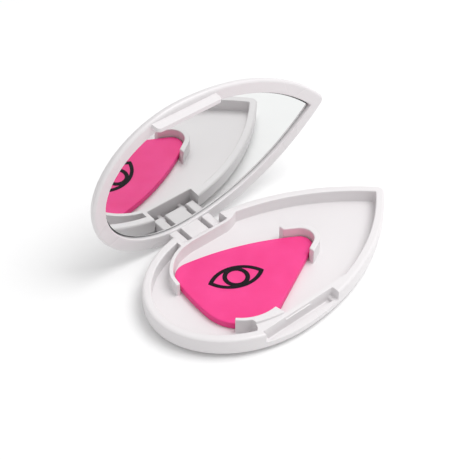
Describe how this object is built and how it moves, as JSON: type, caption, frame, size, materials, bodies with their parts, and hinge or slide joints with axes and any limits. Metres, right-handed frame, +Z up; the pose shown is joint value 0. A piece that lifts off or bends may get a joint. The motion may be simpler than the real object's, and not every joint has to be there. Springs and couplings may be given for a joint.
{
  "type": "mirror compact with pad cradle",
  "caption": "Leaf-shaped pocket compact: hinged lid with an inset mirror, a snap tongue, and a shallow tray whose upstanding clips cradle a soft rounded-triangle pad.",
  "frame": {"origin": "on the flat underside of the tray, half way along its length and half way across its width", "axes": "+X along the case to its pointed end, +Y towards the hinge, +Z up from the underside"},
  "size_m": [0.0879, 0.0586, 0.0506],
  "materials": {
    "white_plastic": "satin-gloss injection-moulded plastic",
    "steel": "plain drawn wire",
    "mirror_glass": "polished, clear",
    "silvering": "silvered",
    "adhesive": "double-sided tape",
    "silicone": "satin silicone",
    "ink": "printed ink"
  },
  "bodies": {
    "tray": {"tray_shell": "white_plastic", "hinge_pin": "steel"},
    "lid": {"lid_shell": "white_plastic", "mirror_glass": "mirror_glass", "mirror_backing": "silvering", "mirror_adhesive": "adhesive"},
    "pad": {"soft_pad": "silicone", "pad_badge": "ink"}
  },
  "joints": [
    {"name": "lid_hinge", "type": "hinge", "parent": "tray", "child": "lid", "pos_m": [0, 0.0233, 0.00185], "axis": [1, 0, 0], "range_deg": [0, 87]},
    {"name": "pad_lift", "type": "slide", "parent": "tray", "child": "pad", "axis": [0, 0, 1], "range_m": [0, 0.03]}
  ]
}
